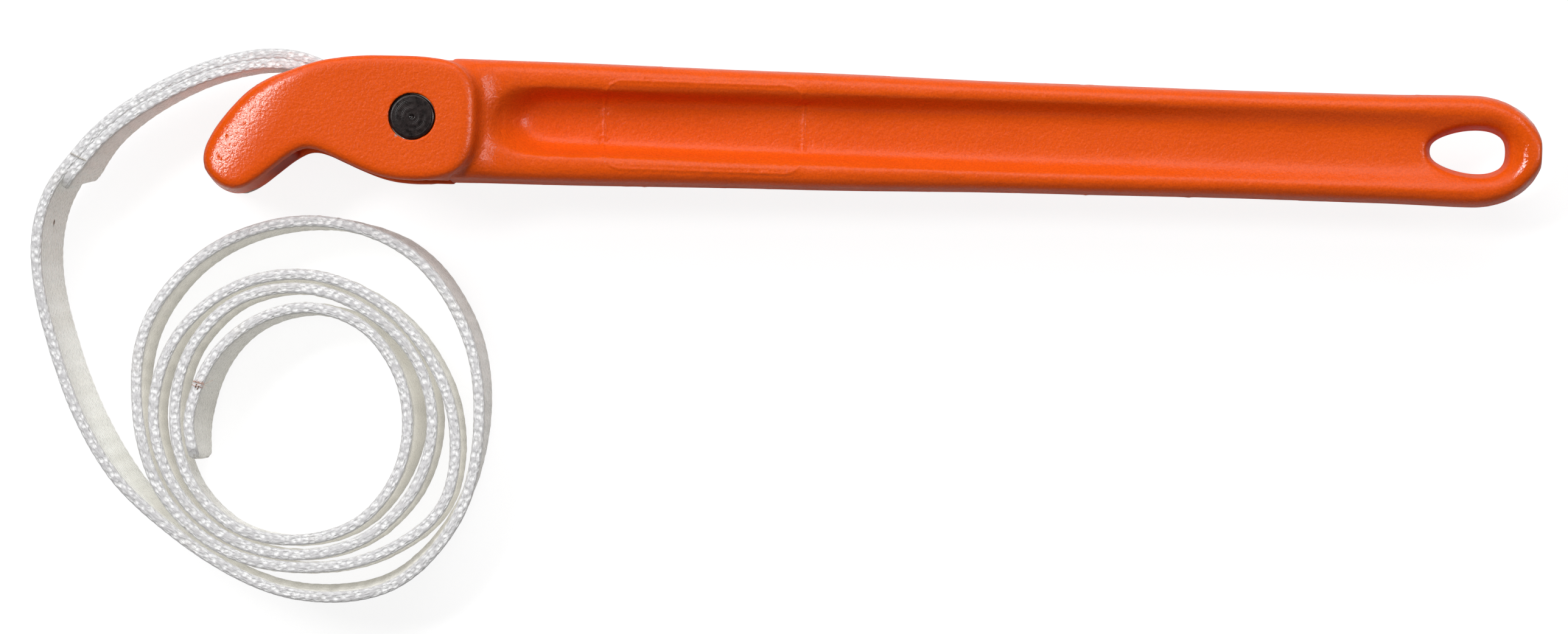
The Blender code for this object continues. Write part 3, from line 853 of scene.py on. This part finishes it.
def woven_strap(look):
    path = strap_path()
    right = right_of(path)
    lower, rise, side_way = strap_frame(path)
    shape = section()
    side, t, normal_side, normal_up, _ = shape.T
    count, ring = len(path), len(shape)
    along = (np.arange(count) * STEP)[:, None]
    length = along[-1, 0]
    relief, looks = yarn_relief(shape, along)

    # The two cut ends: rounded corners and thinned edges.
    near_end = np.minimum(along, length - along)
    short = np.maximum(END_CORNER - near_end, 0)
    inset = END_CORNER - np.sqrt(np.maximum(END_CORNER**2 - short**2, 0))
    squeeze = (STRAP_WIDE - 2 * inset) / STRAP_WIDE
    height = STRAP_WIDE / 2 + (t[None, :] - STRAP_WIDE / 2) * squeeze
    thin = np.clip(near_end / END_THIN, 0.35, 1) ** 0.5
    wander = wobble(along, 0.12, 0.0, 3.1)
    across = side[None, :] * thin + normal_side[None, :] * (relief + 0.06 * wander)
    height = height + normal_up[None, :] * relief
    points = (
        lower[:, None, :]
        + rise[:, None, :] * height[:, :, None]
        + side_way[:, None, :] * across[:, :, None]
    ) * MM
    # The lapped end is cut on a slant: its lower corner stops short of the upper one.
    slant = LAP_SLANT * np.clip(1 - along / LAP_EASE, 0, 1) * (1 - t[None, :] / STRAP_WIDE) * MM
    points[:, :, 0] += PIN_AT[0] - right[:, 1][:, None] * slant
    points[:, :, 1] += PIN_AT[1] + right[:, 0][:, None] * slant

    i = np.arange(count - 1)[:, None] * ring
    j = np.arange(ring)[None, :]
    k = (j + 1) % ring
    faces = np.stack([i + j, i + k, i + ring + k, i + ring + j], -1).reshape(-1, 4).tolist()
    faces += end_caps((count - 1) * ring, ring)
    looks = {name: np.broadcast_to(values, (count, ring)).ravel() for name, values in looks.items()}
    mesh = new_mesh("woven_strap", points.reshape(-1, 3), faces)
    made = shown("woven_strap", mesh, look, looks)
    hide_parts("strap_loop", "strap_run", "strap_coil")
    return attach(made, "strap"), length, path


# Threads: strands that cross over the strap's top edge, twisted round each other, and short dark stitches.

STRAND_R = 0.10
TIP_STRAND_R = 0.075
FRAYS = 12
FRAY_LONG = 1.5
FRAY_BEND = 0.6
STITCH_BOW = 0.26
STITCH_OUT = 0.17
STITCH_TWIST = 0.09


def section_frame(path, at):
    """At a length along the strap: its upper edge, and the ways to its right, ahead and up its width."""
    i = int(round(at / STEP))
    right = right_of(path)[i]
    lower = Vector((path[i, 0] - right[0] * path[i, 2], path[i, 1] - right[1] * path[i, 2], path[i, 3]))
    upper = Vector((path[i, 0], path[i, 1], path[i, 3] + STRAP_WIDE))
    ahead = Vector((-right[1], right[0], 0.0))
    return upper, Vector((right[0], right[1], 0.0)), ahead, (upper - lower).normalized()


def tube(name, route, radius):
    """A round strand along a route of points in millimetres from the pin."""
    curve = bpy.data.curves.new(name, "CURVE")
    curve.dimensions = "3D"
    curve.bevel_depth = radius * MM
    curve.bevel_resolution = 2
    curve.use_fill_caps = True
    spline = curve.splines.new("POLY")
    spline.points.add(len(route) - 1)
    for point, p in zip(spline.points, route):
        point.co = (*placed(*p), 1.0)
    draft = bpy.data.objects.new(name, curve)
    bpy.context.scene.collection.objects.link(draft)
    bpy.context.view_layer.update()
    mesh = bpy.data.meshes.new_from_object(draft.evaluated_get(bpy.context.evaluated_depsgraph_get()))
    bpy.data.objects.remove(draft)
    mesh.shade_smooth()
    return mesh


def one_piece(name, meshes, look):
    bm = bmesh.new()
    for mesh in meshes:
        bm.from_mesh(mesh)
    made = bpy.data.meshes.new(name)
    bm.to_mesh(made)
    bm.free()
    return shown(name, made, look)


def twisted(place, line, start, wind, lean, reach=0.0):
    """One strand's route along a line of side and height. Its wind is a turn per point and three radii."""
    upper, right, ahead, _ = place
    turn, side_r, ahead_r, up_r = wind
    route = []
    for n, (side, up) in enumerate(line):
        angle = n * turn + start
        forward = reach + lean * side + ahead_r * math.sin(angle)
        p = upper + right * (side + side_r * math.cos(angle)) + ahead * forward
        p.z += up + up_r * math.cos(angle)
        route.append(p)
    return route


def seam_thread(path, look, seam_at):
    """Two twisted strands over both layers' top edges, which dive into the faces just below them."""
    place = section_frame(path, seam_at)
    out_by = 1.14
    in_by = 1.14 + LAYER_APART
    corners = [(out_by - 0.75, -0.9), (out_by - 0.18, -0.45), (out_by - 0.45, 0.22)]
    corners += [(0.0, 0.30), (-1.1, 0.20), (-LAYER_APART, 0.30), (-in_by + 0.45, 0.22)]
    corners += [(-in_by + 0.18, -0.45), (-in_by + 0.75, -0.9)]
    line = smooth_through(corners, 9)
    wind = (0.62, 0.07, 0.11, 0.05)
    strands = []
    for start in (0.0, math.pi):
        strands.append(tube("strand", twisted(place, line, start, wind, 0.25), STRAND_R))
    made = one_piece("seam_stitch", strands, look)
    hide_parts("lap_seam")
    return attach(made, "strap")


def binding_thread(path, look, at):
    """Three open strands over the top edge near the cut end, with loose frays."""
    strands = []
    pick = random.Random(4)
    place = section_frame(path, at)
    upper, right, ahead, _ = place
    corners = [(0.4, -1.5), (1.16, -1.0), (1.05, 0.02), (0.0, 0.22)]
    corners += [(-1.05, 0.02), (-1.16, -1.0), (-0.4, -1.5)]
    line = smooth_through(corners, 8)
    wind = (0.6, 0.05, 0.09, 0.04)
    for start, reach in ((0.0, 0.0), (math.pi, 0.0), (1.3, 0.9)):
        strands.append(tube("strand", twisted(place, line, start, wind, 0.12, reach), TIP_STRAND_R))
    for _ in range(FRAYS):
        start = upper + right * pick.uniform(-1.6, 0.6) + ahead * pick.uniform(-0.8, 0.8)
        start.z += 0.2
        way = Vector((pick.uniform(-1, 1), pick.uniform(-1, 1), pick.uniform(0.1, 0.6))).normalized()
        bend = Vector((pick.uniform(-1, 1), pick.uniform(-1, 1), 0.0)) * FRAY_BEND
        route = [start + way * (FRAY_LONG * f) + bend * f * f for f in (0.0, 0.25, 0.5, 0.75, 1.0)]
        strands.append(tube("fray", route, pick.uniform(0.02, 0.045)))
    made = one_piece("tip_thread", strands, look)
    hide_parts("tip_binding")
    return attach(made, "strap")


def dark_stitches(path, look, spots):
    """Short dark stitches. A spot is a length along, a side, a height from the top and a half length."""
    strands = []
    for at, out, up, half in spots:
        upper, right, ahead, rise = section_frame(path, at)
        middle = upper + rise * up + right * out
        away = right * math.copysign(1.0, out) if up < -1 else rise
        for shift in (-STITCH_TWIST, STITCH_TWIST):
            route = []
            for k in range(9):
                f = k / 4 - 1
                bow = away * (STITCH_OUT - STITCH_BOW * f * f)
                route.append(middle + ahead * (half * f) + bow + rise * (shift * (1 - f * f)))
            strands.append(tube("stitch", route, STRAND_R))
    made = one_piece("dark_stitches", strands, look)
    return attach(made, "strap")


# Studio: lamps are name, place, aim, size, watts and turn. The floor's own light is seen by the camera only.

FLOOR_REACH = 6.0
FLOOR_SEEN = 0.88
FLOOR_PALE = 0.24
WORLD_STRENGTH = 0.02
LAMPS = [
    ("top_left", (-1.30, 0.70, 2.75), (-0.12, 0.04, 0), (0.38, 1.05), 42, 60),
    ("back", (0.1, 2.5, 2.3), (0, 0, 0), (4.4, 2.8), 54, 0),
    ("back_middle", (0.1, 2.45, 2.25), (0, 0, 0), (2.6, 1.3), 40, 0),
    ("right", (2.42, 0.28, 2.25), (0, 0, 0), (0.28, 0.36), 70, 0),
    ("front", (0.2, -2.8, 2.0), (0, 0, 0), (3.0, 2.0), 7, 0),
]
GLINT_ONLY = ["right"]


def area_light(name, at, aim, size, power, turn):
    data = bpy.data.lights.new(name, "AREA")
    data.shape = "RECTANGLE"
    data.size, data.size_y = size
    data.energy = power
    made = bpy.data.objects.new(name, data)
    bpy.context.scene.collection.objects.link(made)
    made.location = at
    made.rotation_mode = "QUATERNION"
    face = (Vector(aim) - Vector(at)).to_track_quat("-Z", "Y")
    made.rotation_quaternion = face @ Quaternion((0, 0, 1), math.radians(turn))
    return made


def floor_look():
    """Pale matt floor, which the camera sees nearly white, with soft shadows."""
    look = Look("floor_white")
    tone = look.ramp(look.noise(3.0, 2.0, 0.5), (0.3, (0.72, 0.72, 0.72)), (0.7, (0.76, 0.76, 0.76)))
    look.set(Base_Color=tone, Roughness=0.8)
    seen = look.node("Emission", {"Color": (1.0, 1.0, 1.0, 1.0), "Strength": FLOOR_SEEN}).outputs[0]
    pale = look.node("BsdfDiffuse", {"Color": (FLOOR_PALE, FLOOR_PALE, FLOOR_PALE, 1.0)}).outputs[0]
    both = look.node("AddShader")
    look.put(both.inputs[0], seen)
    look.put(both.inputs[1], pale)
    pick = look.node("MixShader", {"Fac": look.node("LightPath").outputs["Is Camera Ray"]})
    look.put(pick.inputs[1], look.shader.outputs[0])
    look.put(pick.inputs[2], both.outputs[0])
    look.put(look.tree.nodes["Material Output"].inputs["Surface"], pick.outputs[0])
    return look.material


def floor_mesh(look):
    mesh = bpy.data.meshes.new("floor")
    far = FLOOR_REACH
    mesh.from_pydata([(-far, -far, 0), (far, -far, 0), (far, far, 0), (-far, far, 0)], [], [(0, 1, 2, 3)])
    mesh.materials.append(look)
    return mesh


def studio():
    floor = bpy.data.objects.new("floor", floor_mesh(floor_look()))
    bpy.context.scene.collection.objects.link(floor)
    world = bpy.data.worlds.new("studio")
    world.use_nodes = True
    background = world.node_tree.nodes["Background"]
    background.inputs["Color"].default_value = (1.0, 1.0, 1.0, 1.0)
    background.inputs["Strength"].default_value = WORLD_STRENGTH
    bpy.context.scene.world = world
    for name, at, aim, size, power, turn in LAMPS:
        lamp = area_light(name, at, aim, size, power, turn)
        lamp.visible_diffuse = name not in GLINT_ONLY
    bpy.context.scene.view_settings.view_transform = "Standard"


# Making

make_camera()
strap, strap_length, strap_route = woven_strap(webbing_look())
pin = turned_pin(pin_look())
cast_body(paint_look())
seam_look = thread_look("seam_thread", (0.42, 0.39, 0.35), (0.74, 0.71, 0.66))
tip_look = thread_look("binding_thread", (0.40, 0.19, 0.13), (0.74, 0.56, 0.49))
stitch_look = thread_look("dark_thread", (0.07, 0.022, 0.008), (0.24, 0.10, 0.045))
seam = seam_thread(strap_route, seam_look, outer_length_at(strap_route, *ROUTE[SEAM][:2]))
tip_at = strap_length - TIP_THREAD
tip = binding_thread(strap_route, tip_look, tip_at)
spots = [
    (outer_length_at(strap_route, *FACE_STITCH), -1.15, -10.6, 1.5),
    (tip_at + 1.2, 0.25, 0.06, 0.45),
    (tip_at + 1.5, -0.35, 0.06, 0.40),
]
stitches = dark_stitches(strap_route, stitch_look, spots)
studio()
